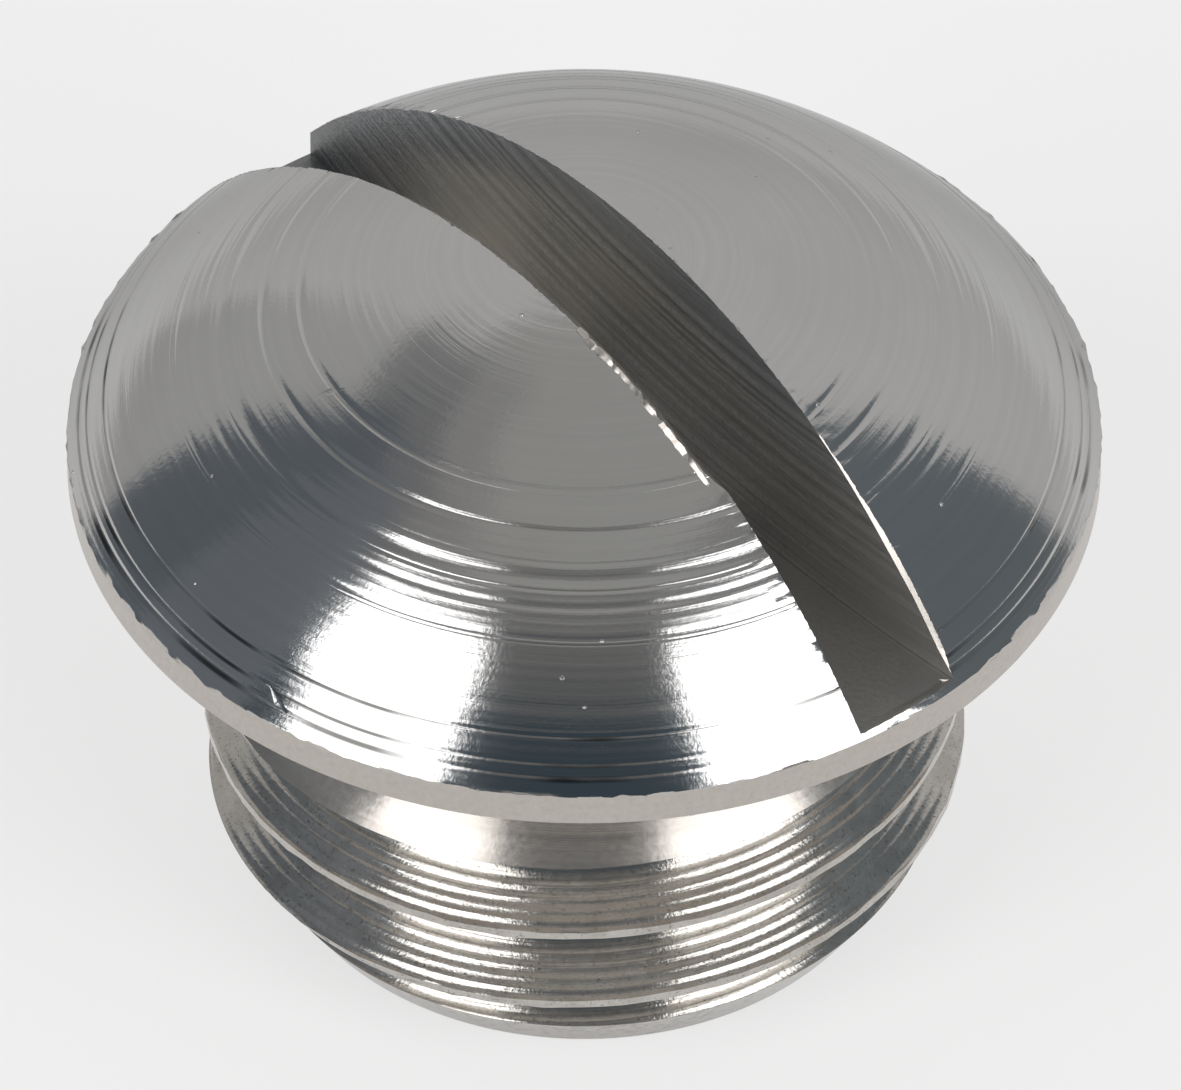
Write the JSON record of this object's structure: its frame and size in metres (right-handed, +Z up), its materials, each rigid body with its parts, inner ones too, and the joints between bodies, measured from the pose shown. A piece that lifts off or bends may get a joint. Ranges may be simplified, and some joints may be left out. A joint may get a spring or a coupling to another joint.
{
  "type": "slotted dome-head screw",
  "caption": "Short turned machine screw with a domed, slotted head on a narrow rim and a stubby fine-threaded shank with a relief under the head and a tapered lead-in; it clamps or plugs a tapped hole.",
  "frame": {"origin": "middle of the flat end face of the shank, on which the screw stands", "axes": "+Z runs up the screw's axis from the end face to the domed head, X runs along the driver slot, Y across it"},
  "size_m": [0.0108, 0.0108, 0.0083],
  "materials": {
    "bright_steel": "bright turned steel with fine concentric tool marks, a sawn slot and small burrs on its edges"
  },
  "bodies": {
    "root": {"screw": "bright_steel"}
  },
  "joints": []
}
